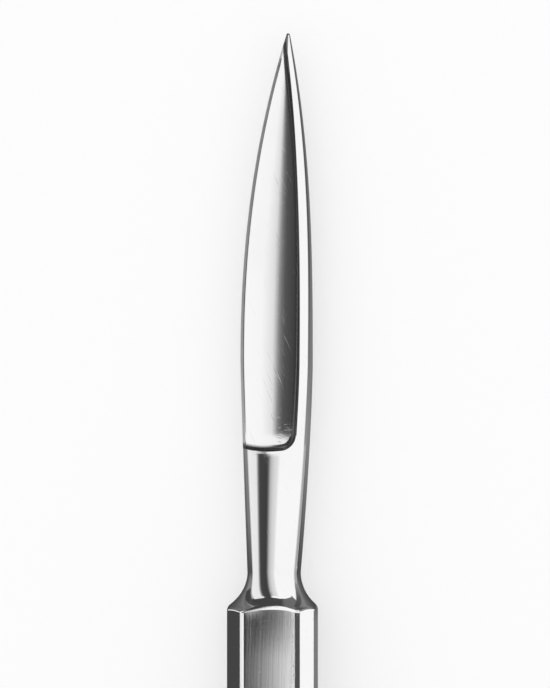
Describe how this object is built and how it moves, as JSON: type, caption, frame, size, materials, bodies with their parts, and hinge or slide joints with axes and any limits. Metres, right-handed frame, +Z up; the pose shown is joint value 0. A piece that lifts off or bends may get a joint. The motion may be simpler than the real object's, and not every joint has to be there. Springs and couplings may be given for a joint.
{
  "type": "dissecting knife",
  "caption": "One-piece steel dissecting knife: hollow-ground pointed blade with a thick back, rounded shank flaring to a flat eight-sided handle",
  "frame": {"origin": "on the surface that the knife lies on, below the handle's centre line, half way between butt and point", "axes": "+Y along the knife to the point, +X to the back of the blade, -X to the cutting edge, +Z up out of a wide facet"},
  "size_m": [0.0088, 0.1658, 0.0062],
  "materials": {
    "polished_steel": "polished stainless steel, handle facets finely ground"
  },
  "bodies": {
    "root": {"knife": "polished_steel"}
  },
  "joints": []
}
